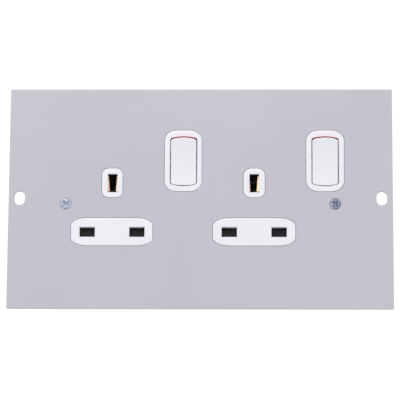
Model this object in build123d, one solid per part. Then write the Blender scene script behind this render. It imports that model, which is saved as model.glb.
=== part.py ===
from build123d import *
import os
from math import cos, pi, radians, sin

# Mounting plate: flat coated steel sheet with square corners
plate_length = 172.0
plate_height = 100.0
plate_thickness = 1.5
fixing_slot_inset = 4.9
fixing_slot_width = 4.85
fixing_slot_length = 6.35
boss_gap = 0.3

# Case: front moulding and rear housing share one outline
case_length = 133.0
case_height = 62.0
case_offset_y = 3.0
case_corner = 4.0
case_depth = 27.0
case_wall = 2.0
split_z = 20.0
lip_depth = 1.5
lip_thickness = 0.9
lip_gap = 0.15
back_chamfer = 1.0

# Outlet layout, seen from the front: the two gangs fill the case but for a margin at each end
gang_margin = 3.0
gang_centre_x = -7.65
quarter_turn = 90.0
pin_spacing = 22.23
pin_row_y = -15.4
pin_slot_length = 6.8
pin_slot_height = 4.37
earth_slot_y = 6.87
earth_slot_width = 4.2
earth_slot_height = 8.27
slot_lead_in = 0.25

# Bosses of the front moulding, flush with the plate
pin_boss = (36.3, 12.15, 6.75, 3.0)
earth_boss = (9.05, 12.95, 2.9, 2.3)
switch_boss = (16.45, 27.6, 4.9, 4.1)
boss_edge = 0.3
earth_skin = 1.5

# Rocker switch
rocker_y = 17.0
rocker_pivot_depth = 3.5
rocker_plan = (11.5, 21.7, 1.05, 0.9)
rocker_rise = 4.48
rocker_skirt = 1.5
rocker_dish_radius = 80.0
rocker_edge = 0.35
rocker_wall = 1.4
rocker_throw = 13.0
rocker_opening = (12.2, 23.1, 1.15, 1.2)
trunnion_radius = 1.5
trunnion_reach = 1.45
trunnion_play = 0.06
cheek_drop = 3.0
cheek_length = 9.0
flag_height = 2.4
flag_thickness = 1.0
flag_drop = 0.6

# Plunger in the rocker's stem, both square so that the wedge tip stays across the blade
stem_size = 5.0
stem_bottom = -5.0
stem_rib_drop = 1.0
plunger_size = 3.0
plunger_play = 0.05
plunger_tip_size = 0.9
plunger_taper = 1.0
plunger_length = 6.5
plunger_reach = 8.5
plunger_spring_length = 3.4
spring_wire = 0.3
coil_sides = 6
plunger_spring_turns = 3

# See-saw contact blade
blade_width = 3.2
blade_thickness = 0.6
blade_arm = 8.4
blade_throw = 14.0
blade_gap = 0.2
lug_length = 1.2
lug_reach = 1.4
notch_play = 0.08
ear_thickness = 1.0
ear_height = 2.2
ear_root = 0.3
ear_margin = 1.2
contact_offset = 7.0
moving_contact_size = 2.6
moving_contact_height = 0.8
fixed_contact_size = 2.8
fixed_contact_height = 0.55
contact_gap = 0.1
flange_margin = 0.6
riser_gap = 0.8

# Conductors
strip_thickness = 1.2
conductor_z = 3.0
link_width = 5.0
link_end_margin = 1.2
link_rest_size = 4.0
tab_width = 6.0
tab_inset = 1.0
busbar_width = 5.5
busbar_rest_size = 3.6
busbar_rest_gap = 1.2
busbar_front_y = 13.0
neutral_run_gap = 0.5
neutral_run_width = 3.5
leaf_thickness = 0.6
jaw_width = 6.0
jaw_half_gap = 1.9
jaw_top_z = 18.5
jaw_flare = 0.9
jaw_flare_height = 3.0
earth_jaw_base_z = 4.5
earth_jaw_width = 7.0
earth_jaw_half_gap = 1.8
earth_jaw_flare = 0.7
earth_jaw_flare_height = 1.0
earth_jaw_corner = 0.8
earth_jaw_shift = (0.0, -0.35)
earth_skin_gap = 0.2
strap_z = 19.0
strap_width = 5.0
strap_pad = (12.0, 14.0)
strap_window_play = 0.1
strap_end_pad = 2.9
strap_crank_run = 1.5
skin_pad_depth = 1.0

# Terminals along the upper edge
terminal_size = (8.0, 9.0, 9.0)
terminal_inset = 8.5
terminal_top_z = 13.2
terminal_edge = 0.5
wire_bore_radius = 2.2
wire_bore_z = 9.7
wire_port_radius = 3.2
clamp_screw_radius = 1.93
clamp_screw_play = 0.07
clamp_screw_z = 0.6
clamp_slot = (0.8, 1.2)
clamp_back_off = 0.3
clamp_well_play = 0.4
earth_terminal_offset = 12.4
line_terminal_x = 20.0
neutral_terminal_offset = 2.0

# Shutters, their guides and retainers
shutter_length = 31.0
shutter_height = 5.8
shutter_thickness = 3.0
shutter_travel = 5.0
shutter_cover = 0.5
shutter_play = 0.3
shutter_face_depth = 2.8
shutter_stem_width = 8.0
shutter_nose_width = 1.8
shutter_nose_drop = 2.2
shutter_nose_root = 1.0
shutter_nose_lip = 0.4
guide_wall = 3.0
guide_stem_wall = 1.5
retainer_thickness = 1.6
retainer_window = (7.8, 5.4)
retainer_inset = 0.6
peg_size = 1.4
peg_play = 0.05
peg_head_size = 2.0
peg_head_height = 0.6
spring_window_half = 1.8
spring_window_length = 11.3
spring_window_web = 1.2
spring_peg_length = 1.0
shutter_spring_radius = 1.25
shutter_spring_turns = 5

# Fasteners
plate_screw_inset = 6.2
plate_screw_y = -2.6
plate_screw_radius = 1.7
plate_screw_length = 7.5
plate_screw_head_radius = 2.76
plate_screw_sink = (3.0, 1.8)
plate_screw_rim = 0.25
cone_play = 0.04
thread_play = 0.05
cross_slot = (3.2, 0.7)
cross_depth = 1.0
cross_angle = 45.0
housing_screw_inset = 5.2
housing_screw_radius = 1.22
housing_pilot_play = 0.03
housing_pilot_extra = 1.0
column_hole_play = 0.5
housing_screw_length = 10.0
housing_head_radius = 2.7
housing_head_height = 1.8
housing_well_size = 6.2
housing_column_size = 8.6
moulding_column_size = 6.4
column_seat_z = 12.0
column_meeting_z = 14.0

# Levels and places that follow from the sizes above
plate_z = case_depth
face_z = plate_z + plate_thickness
skin_z = plate_z - case_wall
pivot_z = face_z - rocker_pivot_depth
rocker_tilt = rocker_throw / 2
blade_tilt = -blade_throw / 2
blade_z = pivot_z - plunger_reach - blade_gap - blade_thickness / 2
shutter_top_z = face_z - shutter_face_depth
shutter_bottom_z = shutter_top_z - shutter_thickness
channel_z = shutter_top_z + shutter_play
retainer_top_z = shutter_bottom_z - shutter_play
case_left = -case_length / 2
plate_screw_x = case_length / 2 - plate_screw_inset
fixing_slot_pitch = plate_length - 2 * fixing_slot_inset
case_top_y = case_offset_y + case_height / 2
case_bottom_y = case_offset_y - case_height / 2
terminal_y = case_top_y - terminal_inset
neutral_run_y = case_bottom_y + case_wall + neutral_run_gap + neutral_run_width / 2
lip_inset = case_wall + lip_gap + lip_thickness
channel_bottom_y = pin_row_y - pin_slot_height / 2 - shutter_cover - shutter_travel - shutter_play
shutter_bottom_y = channel_bottom_y + shutter_play + shutter_travel
shutter_top_y = shutter_bottom_y + shutter_height
channel_top_y = shutter_top_y + shutter_play
earth_slot_low_y = earth_slot_y - earth_slot_height / 2
nose_end_y = earth_slot_low_y + shutter_travel
stem_end_y = earth_slot_low_y - shutter_cover
strap_top_z = strap_z + strip_thickness
tab_high_y = terminal_y + terminal_size[1] / 2 - tab_inset
terminal_bottom_z = terminal_top_z - terminal_size[2]
line_busbar_z = terminal_top_z
blade_half = blade_thickness / 2
gangs = ("left", "right")
gang_pitch = case_length / 2 - gang_margin
socket_x = {
    "left": gang_centre_x - gang_pitch / 2,
    "right": gang_centre_x + gang_pitch / 2,
}
switch_x = {name: socket_x[name] + gang_pitch / 2 for name in gangs}
line_x = {name: socket_x[name] + pin_spacing / 2 for name in gangs}
neutral_x = {name: socket_x[name] - pin_spacing / 2 for name in gangs}
earth_terminal_x = socket_x["right"] + earth_terminal_offset
jaw_shift = dict(zip(gangs, earth_jaw_shift))
neutral_terminal_x = neutral_x["left"] + neutral_terminal_offset
terminal_places = (neutral_terminal_x, line_terminal_x, earth_terminal_x)
housing_screw_x = case_left + housing_screw_inset
housing_screw_places = (
    (housing_screw_x, case_top_y - housing_screw_inset),
    (-housing_screw_x, case_bottom_y + housing_screw_inset),
)
busbar_rest_reach = link_width / 2 + busbar_rest_gap + busbar_rest_size / 2
retainer_half = shutter_length / 2 + shutter_play + guide_wall - retainer_inset
peg_places = tuple(
    (side * x, y)
    for side in (-1, 1)
    for x, y in (
        (shutter_length / 2 + shutter_play + peg_size, (channel_bottom_y + channel_top_y) / 2),
        (pin_spacing / 2 - guide_stem_wall, channel_top_y + guide_wall / 2),
    )
)


def block(x_span, y_span, z_span):
    """Rectangular block between two values along each axis."""
    sizes = [high - low for low, high in (x_span, y_span, z_span)]
    middle = [(high + low) / 2 for low, high in (x_span, y_span, z_span)]
    return Pos(*middle) * Box(*sizes)


def around(middle, width):
    """Span of a width, centred on a value."""
    return (middle - width / 2, middle + width / 2)


def post(x, y, z_low, z_high, radius):
    """Upright round post between two levels."""
    return Pos(x, y, (z_low + z_high) / 2) * Cylinder(radius, z_high - z_low)


def boss_outline(size, grow=0.0):
    """Plan of a boss: a rectangle with quarter-ellipse corners, grown all round by a gap."""
    width, height, corner_x, corner_y = size
    centre_x = width / 2 - corner_x
    centre_y = height / 2 - corner_y
    centres = ((centre_x, centre_y), (-centre_x, centre_y), (-centre_x, -centre_y), (centre_x, -centre_y))
    arcs = [
        EllipticalCenterArc(
            centre, corner_x + grow, corner_y + grow, quarter_turn * turn, arc_size=quarter_turn
        )
        for turn, centre in enumerate(centres)
    ]
    sides = [Line(arcs[turn] @ 1, arcs[(turn + 1) % 4] @ 0) for turn in range(4)]
    return make_face(arcs + sides)


def bowed_outline(size):
    """Plan of the rocker or its opening: straight sides, ends bowed to an arc, rounded corners."""
    width, length, bow, corner = size
    x = width / 2
    y = length / 2 - bow
    sides = (Line((x, -y), (x, y)), Line((-x, y), (-x, -y)))
    ends = (ThreePointArc((x, y), (0, y + bow), (-x, y)), ThreePointArc((-x, -y), (0, -y - bow), (x, -y)))
    plan = make_face(sides + ends)
    return fillet(plan.vertices(), corner)


def case_outline(inset=0.0):
    """Plan of the case, set in all round."""
    sketch = RectangleRounded(case_length - 2 * inset, case_height - 2 * inset, case_corner - inset)
    return Pos(0, case_offset_y) * sketch


def pressing(plane, points, thickness, span):
    """Strip folded along a line of points in a plane, cut to a span across it."""
    sheet = extrude(plane * trace(Polyline(*points), thickness), (span[1] - span[0]) / 2, both=True)
    return Pos(*(plane.z_dir * ((span[0] + span[1]) / 2))) * sheet


def coil(radius, length, turns):
    """Compression spring wound along Z from zero, each turn made of equal straight runs."""
    wire_radius = radius - spring_wire / 2
    steps = turns * coil_sides
    angles = [2 * pi * step / coil_sides for step in range(steps + 1)]
    points = [
        (wire_radius * cos(angle), wire_radius * sin(angle), length * step / steps)
        for step, angle in enumerate(angles)
    ]
    path = Polyline(*points)
    section = Plane(origin=path @ 0, z_dir=path % 0) * Rectangle(spring_wire, spring_wire)
    return sweep(section, path=path, transition=Transition.RIGHT)


def mounting_plate():
    """Steel sheet with an aperture for each boss, screw countersinks and fixing slots."""
    sheet = extrude(Rectangle(plate_length, plate_height), plate_thickness)
    holes = []
    for gang in gangs:
        holes.append(Pos(socket_x[gang], pin_row_y) * boss_outline(pin_boss, boss_gap))
        holes.append(Pos(socket_x[gang], earth_slot_y) * boss_outline(earth_boss, boss_gap))
        holes.append(Pos(switch_x[gang], rocker_y) * boss_outline(switch_boss, boss_gap))
    for side in (-1, 1):
        slot = SlotOverall(fixing_slot_length, fixing_slot_width, rotation=90)
        holes.append(Pos(side * fixing_slot_pitch / 2, 0) * slot)
    sheet -= extrude(Sketch() + holes, plate_thickness)
    for side in (-1, 1):
        sink = Cone(plate_screw_sink[1], plate_screw_sink[0], plate_thickness)
        sheet -= Pos(side * plate_screw_x, plate_screw_y, plate_thickness / 2) * sink
    return Pos(0, 0, plate_z) * sheet


def guide(gang):
    """Walls on the back of the moulding that hold a shutter's channel."""
    x = socket_x[gang]
    half = shutter_length / 2 + shutter_play + guide_wall
    stem_half = shutter_stem_width / 2 + shutter_play + guide_stem_wall
    bar = block(
        (x - half, x + half),
        (case_bottom_y + lip_inset, channel_top_y + guide_wall),
        (retainer_top_z, skin_z),
    )
    stem = block(
        (x - stem_half, x + stem_half),
        (channel_top_y, stem_end_y + shutter_play),
        (retainer_top_z, skin_z),
    )
    return bar + stem


def channel(gang):
    """Space that a shutter and the earth jaw need inside the moulding."""
    x = socket_x[gang]
    half = shutter_length / 2 + shutter_play
    stem_half = shutter_stem_width / 2 + shutter_play
    low = retainer_top_z
    level = (low, channel_z)
    bar = block((x - half, x + half), (channel_bottom_y, channel_top_y), level)
    stem = block((x - stem_half, x + stem_half), (channel_top_y, stem_end_y + shutter_play), level)
    pocket_half = earth_boss[0] / 2 - lip_thickness - lip_gap
    pocket_top_y = earth_slot_y + earth_boss[1] / 2 - 2 * lip_thickness
    level = (low, face_z - earth_skin)
    pocket = block((x - pocket_half, x + pocket_half), (stem_end_y, pocket_top_y), level)
    return bar + stem + pocket


def spring_peg(gang):
    """Upright in the channel that the shutter spring pushes against."""
    x = socket_x[gang]
    low_y = spring_peg_y()
    half = spring_window_half - shutter_play
    return block((x - half, x + half), (low_y, low_y + spring_peg_length), (shutter_bottom_z, channel_z))


def spring_peg_y():
    """Lower face of the spring peg."""
    return shutter_window()[0] + shutter_play


def shutter_window():
    """Span along Y of the window in a shutter's stem."""
    high = stem_end_y - spring_window_web
    return (high - spring_window_length, high)


def slot_cut(x, y, width, height):
    """Rectangular pin slot through the face, with a small lead-in at its rim."""
    straight = block(around(x, width), around(y, height), (retainer_top_z, face_z))
    rim = Rectangle(width + 2 * slot_lead_in, height + 2 * slot_lead_in)
    throat = Pos(0, 0, -slot_lead_in) * Rectangle(width, height)
    return straight + Pos(x, y, face_z) * loft([throat, rim])


def switch_cheeks(gang):
    """Two walls that hold a rocker's trunnions."""
    x = switch_x[gang]
    half = switch_boss[0] / 2
    walls = block((x - half, x + half), around(rocker_y, cheek_length), (pivot_z - cheek_drop, skin_z))
    return walls - block(around(x, rocker_opening[0]), around(rocker_y, 2 * cheek_length), (0, skin_z))


def lip():
    """Straight ribs inside the rim that reach past the split and locate the rear housing."""
    low = split_z - lip_depth
    inner_x = case_length / 2 - lip_inset
    inner_y = case_height / 2 - lip_inset
    outer_x = inner_x + lip_thickness
    outer_y = inner_y + lip_thickness
    ribs = Part()
    for side in (-1, 1):
        across = sorted((side * inner_y, side * outer_y))
        along = sorted((side * inner_x, side * outer_x))
        ribs += block(around(0, 2 * inner_x - case_corner), across, (low, skin_z))
        ribs += block(along, around(0, 2 * inner_y - case_corner), (low, skin_z))
    return Pos(0, case_offset_y, 0) * ribs


def front_moulding():
    """One white moulding: skin and rim under the plate, bosses through it, guides and columns behind."""
    body = Pos(0, 0, skin_z) * extrude(case_outline(), case_wall)
    rim = case_outline() - case_outline(case_wall)
    body += Pos(0, 0, split_z) * extrude(rim, skin_z - split_z)
    body += lip()
    for gang in gangs:
        for x, y, size in (
            (socket_x[gang], pin_row_y, pin_boss),
            (socket_x[gang], earth_slot_y, earth_boss),
            (switch_x[gang], rocker_y, switch_boss),
        ):
            boss = extrude(boss_outline(size), plate_thickness)
            boss = chamfer(boss.faces().sort_by(Axis.Z)[-1].edges(), boss_edge)
            body += Pos(x, y, plate_z) * boss
        body += guide(gang)
        body -= channel(gang)
        body += spring_peg(gang)
        body += switch_cheeks(gang)
        for side in (-1, 1):
            body -= slot_cut(
                socket_x[gang] + side * pin_spacing / 2, pin_row_y, pin_slot_length, pin_slot_height
            )
            seat_radius = trunnion_radius + trunnion_play
            seat_x = switch_x[gang] + side * rocker_opening[0] / 2
            seat = Cylinder(seat_radius, 2 * trunnion_reach, rotation=(0, 90, 0))
            body -= Pos(seat_x, rocker_y, pivot_z) * seat
            throat_x = around(seat_x, 2 * trunnion_reach)
            body -= block(throat_x, around(rocker_y, 2 * seat_radius), (pivot_z - cheek_drop, pivot_z))
        body -= slot_cut(socket_x[gang], earth_slot_y, earth_slot_width, earth_slot_height)
        well = extrude(bowed_outline(rocker_opening), face_z - split_z)
        body -= Pos(switch_x[gang], rocker_y, split_z) * well
        for x, y in peg_places:
            head_z = retainer_top_z - retainer_thickness - peg_head_height
            peg_x = around(socket_x[gang] + x, peg_size)
            body += block(peg_x, around(y, peg_size), (head_z, retainer_top_z))
            head_x = around(socket_x[gang] + x, peg_head_size)
            body += block(head_x, around(y, peg_head_size), (head_z, head_z + peg_head_height))
    for x, y in housing_screw_places:
        size = moulding_column_size
        column = block(around(x, size), around(y, size), (column_meeting_z, skin_z))
        inside = extrude(case_outline(case_wall + lip_gap), skin_z - column_meeting_z)
        body += column & Pos(0, 0, column_meeting_z) * inside
        pilot = housing_screw_radius + housing_pilot_play
        pilot_top_z = column_seat_z + housing_screw_length + housing_pilot_extra
        body -= post(x, y, column_meeting_z, pilot_top_z, pilot)
    for side in (-1, 1):
        x = side * plate_screw_x
        pad_z = skin_z - skin_pad_depth
        body += block(
            around(x, 2 * strap_end_pad), around(plate_screw_y, 2 * strap_end_pad), (pad_z, skin_z)
        )
        hole = 2 * plate_screw_sink[1]
        body -= block(around(x, hole), around(plate_screw_y, hole), (pad_z, plate_z))
    return body


def rear_housing():
    """Moulded tray that closes the back, with screw columns, wire ports and rests for the conductors."""
    body = extrude(case_outline(), split_z)
    body = chamfer(body.faces().sort_by(Axis.Z)[0].edges(), back_chamfer)
    body -= Pos(0, 0, case_wall) * extrude(case_outline(case_wall), split_z)
    floor = case_wall / 2
    for x, y in housing_screw_places:
        size = housing_column_size
        column = block(around(x, size), around(y, size), (floor, column_meeting_z))
        body += column & Pos(0, 0, floor) * extrude(case_outline(case_wall / 2), split_z)
        body -= block(around(x, housing_well_size), around(y, housing_well_size), (0, column_seat_z))
        body -= post(x, y, column_seat_z, column_meeting_z, housing_screw_radius + column_hole_play)
    for x in terminal_places:
        rest_z = conductor_z if x == neutral_terminal_x else terminal_bottom_z
        body += block(around(x, terminal_size[0]), around(terminal_y, terminal_size[1]), (floor, rest_z))
        well = 2 * (clamp_screw_radius + clamp_well_play)
        body -= block(around(x, well), around(terminal_y, well), (0, rest_z))
        wall = (case_top_y - case_wall, case_top_y)
        body -= block(around(x, 2 * wire_port_radius), wall, around(wire_bore_z, 2 * wire_port_radius))
    for gang in gangs:
        for x, y in (
            (line_x[gang], pin_row_y),
            (neutral_x[gang], pin_row_y),
            (switch_x[gang], busbar_front_y),
            (switch_x[gang], rocker_y + contact_offset),
        ):
            size = link_rest_size
            body += block(around(x, size), around(y, size), (floor, conductor_z))
        body += block(
            around(socket_x[gang] + jaw_shift[gang], 2 * earth_jaw_half_gap),
            around(earth_slot_y, earth_jaw_width),
            (floor, earth_jaw_base_z),
        )
        for side in (-1, 1):
            x = switch_x[gang] + side * busbar_rest_reach
            y = busbar_front_y + busbar_width / 2
            size = busbar_rest_size
            body += block(around(x, size), around(y, size), (floor, line_busbar_z))
    return body


def terminal_block(x):
    """Brass block with a wire bore and a clamp screw hole from the back."""
    body = Box(*terminal_size)
    body = chamfer(body.edges().filter_by(Axis.Y), terminal_edge)
    body = Pos(x, terminal_y, terminal_top_z - terminal_size[2] / 2) * body
    bore = Cylinder(wire_bore_radius, terminal_size[1], rotation=(90, 0, 0))
    body -= Pos(x, terminal_y, wire_bore_z) * bore
    return body - post(x, terminal_y, terminal_bottom_z, wire_bore_z, clamp_screw_radius + clamp_screw_play)


def clamp_screw(x):
    """Headless slotted terminal screw, backed off clear of the wire bore."""
    tip_z = wire_bore_z - wire_bore_radius - clamp_back_off
    body = post(x, terminal_y, clamp_screw_z, tip_z, clamp_screw_radius)
    width, depth = clamp_slot
    slot = (around(x, 2 * terminal_size[0]), around(terminal_y, width), (0, clamp_screw_z + depth))
    return body - block(*slot)


def plate_screw(x):
    """Countersunk screw with a cross recess, its rim a little proud of the plate."""
    slope = (plate_screw_sink[0] - plate_screw_sink[1]) / plate_thickness
    rim_z = -(plate_screw_sink[0] - cone_play - plate_screw_head_radius) / slope
    flank_z = -(plate_screw_sink[0] - cone_play - plate_screw_radius) / slope
    tip_z = rim_z - plate_screw_length
    crown_z = rim_z + plate_screw_rim
    outline = Polygon(
        (0, crown_z),
        (plate_screw_head_radius, crown_z),
        (plate_screw_head_radius, rim_z),
        (plate_screw_radius, flank_z),
        (plate_screw_radius, tip_z),
        (0, tip_z),
        align=None,
    )
    body = revolve(Plane.XZ * outline, Axis.Z)
    for turn in (0, 90):
        recess = Rot(0, 0, cross_angle + turn) * Box(cross_slot[0], cross_slot[1], 2 * cross_depth)
        body -= Pos(0, 0, crown_z) * recess
    return Pos(x, plate_screw_y, face_z) * body


def housing_screws():
    """Two equal self-tapping screws from the back, their heads seated in the columns."""
    screws = []
    for x, y in housing_screw_places:
        head_z = column_seat_z - housing_head_height
        body = post(x, y, head_z, column_seat_z, housing_head_radius)
        body += post(x, y, column_seat_z, column_seat_z + housing_screw_length, housing_screw_radius)
        for turn in (0, 90):
            recess = Rot(0, 0, turn) * Box(cross_slot[0], cross_slot[1], 2 * cross_depth)
            body -= Pos(x, y, head_z) * recess
        screws.append(body)
    return Compound(children=screws)


def pin_jaw(x):
    """Sprung clip for a line or neutral pin: a U with leaves that close in and flare out."""
    base_z = conductor_z + strip_thickness + leaf_thickness / 2
    throat_z = jaw_top_z - jaw_flare_height
    wide = jaw_half_gap + jaw_flare
    points = (
        (-wide, jaw_top_z),
        (-jaw_half_gap, throat_z),
        (-wide, base_z),
        (wide, base_z),
        (jaw_half_gap, throat_z),
        (wide, jaw_top_z),
    )
    clip = pressing(Plane.YZ, points, leaf_thickness, around(x, jaw_width))
    return Pos(0, pin_row_y, 0) * clip


def earth_jaw(gang):
    """Tall sprung clip for the earth pin, its flared ends close behind the face."""
    base_z = earth_jaw_base_z + leaf_thickness / 2
    top_z = face_z - earth_skin - earth_skin_gap
    throat_z = top_z - earth_jaw_flare_height
    flare = earth_jaw_half_gap + earth_jaw_flare
    points = (
        (-flare, top_z),
        (-earth_jaw_half_gap, throat_z),
        (-earth_jaw_half_gap, base_z),
        (earth_jaw_half_gap, base_z),
        (earth_jaw_half_gap, throat_z),
        (flare, top_z),
    )
    clip = pressing(Plane.XZ, points, leaf_thickness, around(-earth_slot_y, earth_jaw_width))
    low_y, high_y = around(earth_slot_y, earth_jaw_width)
    side_view = Polygon(
        (low_y, 0),
        (high_y, 0),
        (high_y, top_z - earth_jaw_corner),
        (high_y - earth_jaw_corner, top_z),
        (low_y + earth_jaw_corner, top_z),
        (low_y, top_z - earth_jaw_corner),
        align=None,
    )
    clip = clip & extrude(Plane.YZ * side_view, earth_boss[0], both=True)
    return Pos(socket_x[gang] + jaw_shift[gang], 0, 0) * clip


def earth_strap():
    """Strap from plate screw to plate screw, with a pad at each earth jaw and an arm to the terminal."""
    low = strap_z + strip_thickness / 2
    high = skin_z - skin_pad_depth - strip_thickness / 2
    end_x = plate_screw_x + strap_end_pad
    crank_x = plate_screw_x - strap_end_pad - strap_crank_run
    fold_x = crank_x - (high - low)
    points = (
        (-end_x, high),
        (-crank_x, high),
        (-fold_x, low),
        (fold_x, low),
        (crank_x, high),
        (end_x, high),
    )
    strap_low_y = plate_screw_y - strap_width / 2
    strap_high_y = plate_screw_y + strap_width / 2
    body = pressing(Plane.XZ, points, strip_thickness, (-strap_high_y, -strap_low_y))
    for side in (-1, 1):
        body -= post(side * plate_screw_x, plate_screw_y, strap_z, skin_z, plate_screw_radius + thread_play)
    for gang in gangs:
        pad = block(
            around(socket_x[gang] + jaw_shift[gang], strap_pad[0]),
            (plate_screw_y, strap_high_y + strap_pad[1]),
            (strap_z, strap_top_z),
        )
        window_width = 2 * earth_jaw_half_gap + leaf_thickness + 2 * strap_window_play
        pad -= block(
            around(socket_x[gang] + jaw_shift[gang], window_width),
            around(earth_slot_y, earth_jaw_width + 2 * strap_window_play),
            (strap_z, strap_top_z),
        )
        body += pad
    fold_y = terminal_y - terminal_size[1] / 2 + 1.5 * strip_thickness
    foot_z = terminal_top_z + strip_thickness / 2
    arm = (
        (plate_screw_y, low),
        (fold_y, low),
        (fold_y, foot_z),
        (tab_high_y, foot_z),
    )
    return body + pressing(Plane.YZ, arm, strip_thickness, around(earth_terminal_x, tab_width))


def line_link(gang):
    """Low strip from the line jaw to the fixed contact under the switch."""
    low = (conductor_z, conductor_z + strip_thickness)
    jaw_x = line_x[gang]
    end_x = switch_x[gang]
    turn_y = plate_screw_y + strap_width / 2
    rise_y = rocker_y + blade_arm + riser_gap + strip_thickness / 2
    plan = Polyline(
        (jaw_x, pin_row_y - jaw_half_gap - link_end_margin),
        (jaw_x, turn_y),
        (end_x, turn_y),
        (end_x, rise_y - link_width / 2),
    )
    body = Pos(0, 0, low[0]) * extrude(trace(plan, link_width), strip_thickness)
    middle = conductor_z + strip_thickness / 2
    flange_z = fixed_contact_z() - fixed_contact_height - strip_thickness / 2
    riser = (
        (rise_y - link_width, middle),
        (rise_y, middle),
        (rise_y, flange_z),
        (rocker_y + contact_offset - fixed_contact_size / 2 - flange_margin, flange_z),
    )
    return body + pressing(Plane.YZ, riser, strip_thickness, around(end_x, link_width))


def fixed_contact_z():
    """Face of the fixed contact, a small gap under the lowest edge of the closed moving contact."""
    reach = contact_offset + moving_contact_size / 2
    drop = blade_half + moving_contact_height
    tilt = radians(-blade_tilt)
    return blade_z - reach * sin(tilt) - drop * cos(tilt) - contact_gap


def line_busbar():
    """Bar under both switches with a pair of notched ears for each blade and a tab to the line terminal."""
    rest_reach = busbar_rest_reach + busbar_rest_size / 2
    top_z = line_busbar_z + strip_thickness
    high_y = busbar_front_y + busbar_width
    body = block(
        (switch_x["left"] - rest_reach, switch_x["right"] + rest_reach),
        (busbar_front_y, high_y),
        (line_busbar_z, top_z),
    )
    body += block(
        around(line_terminal_x, tab_width),
        (busbar_front_y, tab_high_y),
        (line_busbar_z, top_z),
    )
    notch_half = notch_size()
    for gang in gangs:
        for side in (-1, 1):
            ear_x = switch_x[gang] + side * (blade_width / 2 + shutter_play + ear_thickness / 2)
            ear = block(
                around(ear_x, ear_thickness),
                around(rocker_y, 2 * (notch_half + ear_margin)),
                (top_z - ear_root, top_z + ear_height),
            )
            notch = (around(ear_x, ear_thickness), around(rocker_y, 2 * notch_half))
            ear -= block(*notch, (blade_z - notch_half, blade_z + ear_height))
            body += ear
    return body


def notch_size():
    """Half width of an ear's notch, which clears the corners of a blade's lug as it turns."""
    return ((lug_length / 2) ** 2 + blade_half**2) ** 0.5 + notch_play


def neutral_busbar():
    """Low strip that joins both neutral jaws and the neutral terminal."""
    low = (conductor_z, conductor_z + strip_thickness)
    run_low_y = neutral_run_y - neutral_run_width / 2
    right_edge = neutral_x["right"] + link_width / 2
    left = around(neutral_x["left"], link_width)
    plan = block((left[0], right_edge), around(neutral_run_y, neutral_run_width), low)
    plan += block(left, (run_low_y, terminal_y), low)
    end_y = pin_row_y + jaw_half_gap + link_end_margin
    plan += block((right_edge - link_width, right_edge), (run_low_y, end_y), low)
    pad = around(neutral_terminal_x, terminal_size[0]), around(terminal_y, terminal_size[1]), low
    plan += block(*pad)
    return plan - post(neutral_terminal_x, terminal_y, *low, clamp_screw_radius + clamp_well_play)


def contact_blade():
    """See-saw blade about its own pivot, with a lug at each side."""
    bar = Box(blade_width, 2 * blade_arm, blade_thickness)
    reach = blade_width + 2 * lug_reach
    return bar + Box(reach, lug_length, blade_thickness)


def moving_contact():
    """Silver tip under the closing arm, about the blade's pivot."""
    size = moving_contact_size
    z_span = (-blade_half - moving_contact_height, -blade_half)
    return block(around(0, size), around(contact_offset, size), z_span)


def on_blade(gang, piece):
    """Piece set on the closed blade of a switch."""
    return Pos(switch_x[gang], rocker_y, blade_z) * Rot(blade_tilt, 0, 0) * piece


def fixed_contact(gang):
    """Silver tip on the end of the line link."""
    top = fixed_contact_z()
    size = fixed_contact_size
    places = around(switch_x[gang], size), around(rocker_y + contact_offset, size)
    return block(*places, (top - fixed_contact_height, top))


def rocker_cap():
    """Outer form of the rocker about its pivot: a bowed plan with a face dished along Y."""
    half = rocker_plan[1] / 2
    sag = half**2 / (2 * rocker_dish_radius)
    dish = ThreePointArc((-half, rocker_rise), (0, rocker_rise - sag), (half, rocker_rise))
    ends = Polyline((half, rocker_rise), (half, -rocker_skirt), (-half, -rocker_skirt), (-half, rocker_rise))
    side_view = extrude(Plane.YZ * make_face([dish, ends]), rocker_plan[0], both=True)
    body = Pos(0, 0, -rocker_skirt) * extrude(bowed_outline(rocker_plan), rocker_skirt + rocker_rise)
    body = body & side_view
    return chamfer(body.faces().sort_by(Axis.Z)[-1].edges(), rocker_edge)


def flag_piece():
    """Red insert across the upper end of the rocker, flush with it."""
    half = rocker_plan[1] / 2
    top_z = rocker_rise - flag_drop
    place = (around(0, rocker_plan[0]), (half - flag_thickness, half), (top_z - flag_height, top_z))
    return rocker_cap() & block(*place)


def rocker():
    """Hollow rocker about its pivot, with trunnions, a stem and the seat of the flag."""
    half = rocker_plan[0] / 2
    inner = (rocker_plan[0] - 2 * rocker_wall, rocker_plan[1] - 2 * rocker_wall)
    sag = (rocker_plan[1] / 2) ** 2 / (2 * rocker_dish_radius)
    roof_z = rocker_rise - sag - rocker_wall
    body = rocker_cap() - block(around(0, inner[0]), around(0, inner[1]), (-rocker_skirt, roof_z))
    body += block(around(0, stem_size), around(0, stem_size), (stem_bottom, roof_z))
    body += block(around(0, rocker_wall), around(0, inner[1]), (stem_rib_drop - rocker_skirt, roof_z))
    bore = around(0, plunger_size + 2 * plunger_play)
    body -= block(bore, bore, (stem_bottom, stem_bottom + plunger_bore_depth()))
    for side in (-1, 1):
        reach = half + trunnion_reach
        pin = Cylinder(trunnion_radius, reach - inner[0] / 2, rotation=(0, 90, 0))
        body += Pos(side * (reach + inner[0] / 2) / 2, 0, 0) * pin
    return body - flag_piece()


def plunger_bore_depth():
    """Depth of the stem's bore: the plunger's share of it and its spring."""
    inside = plunger_length - (plunger_reach + stem_bottom)
    return inside + plunger_spring_length


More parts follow.
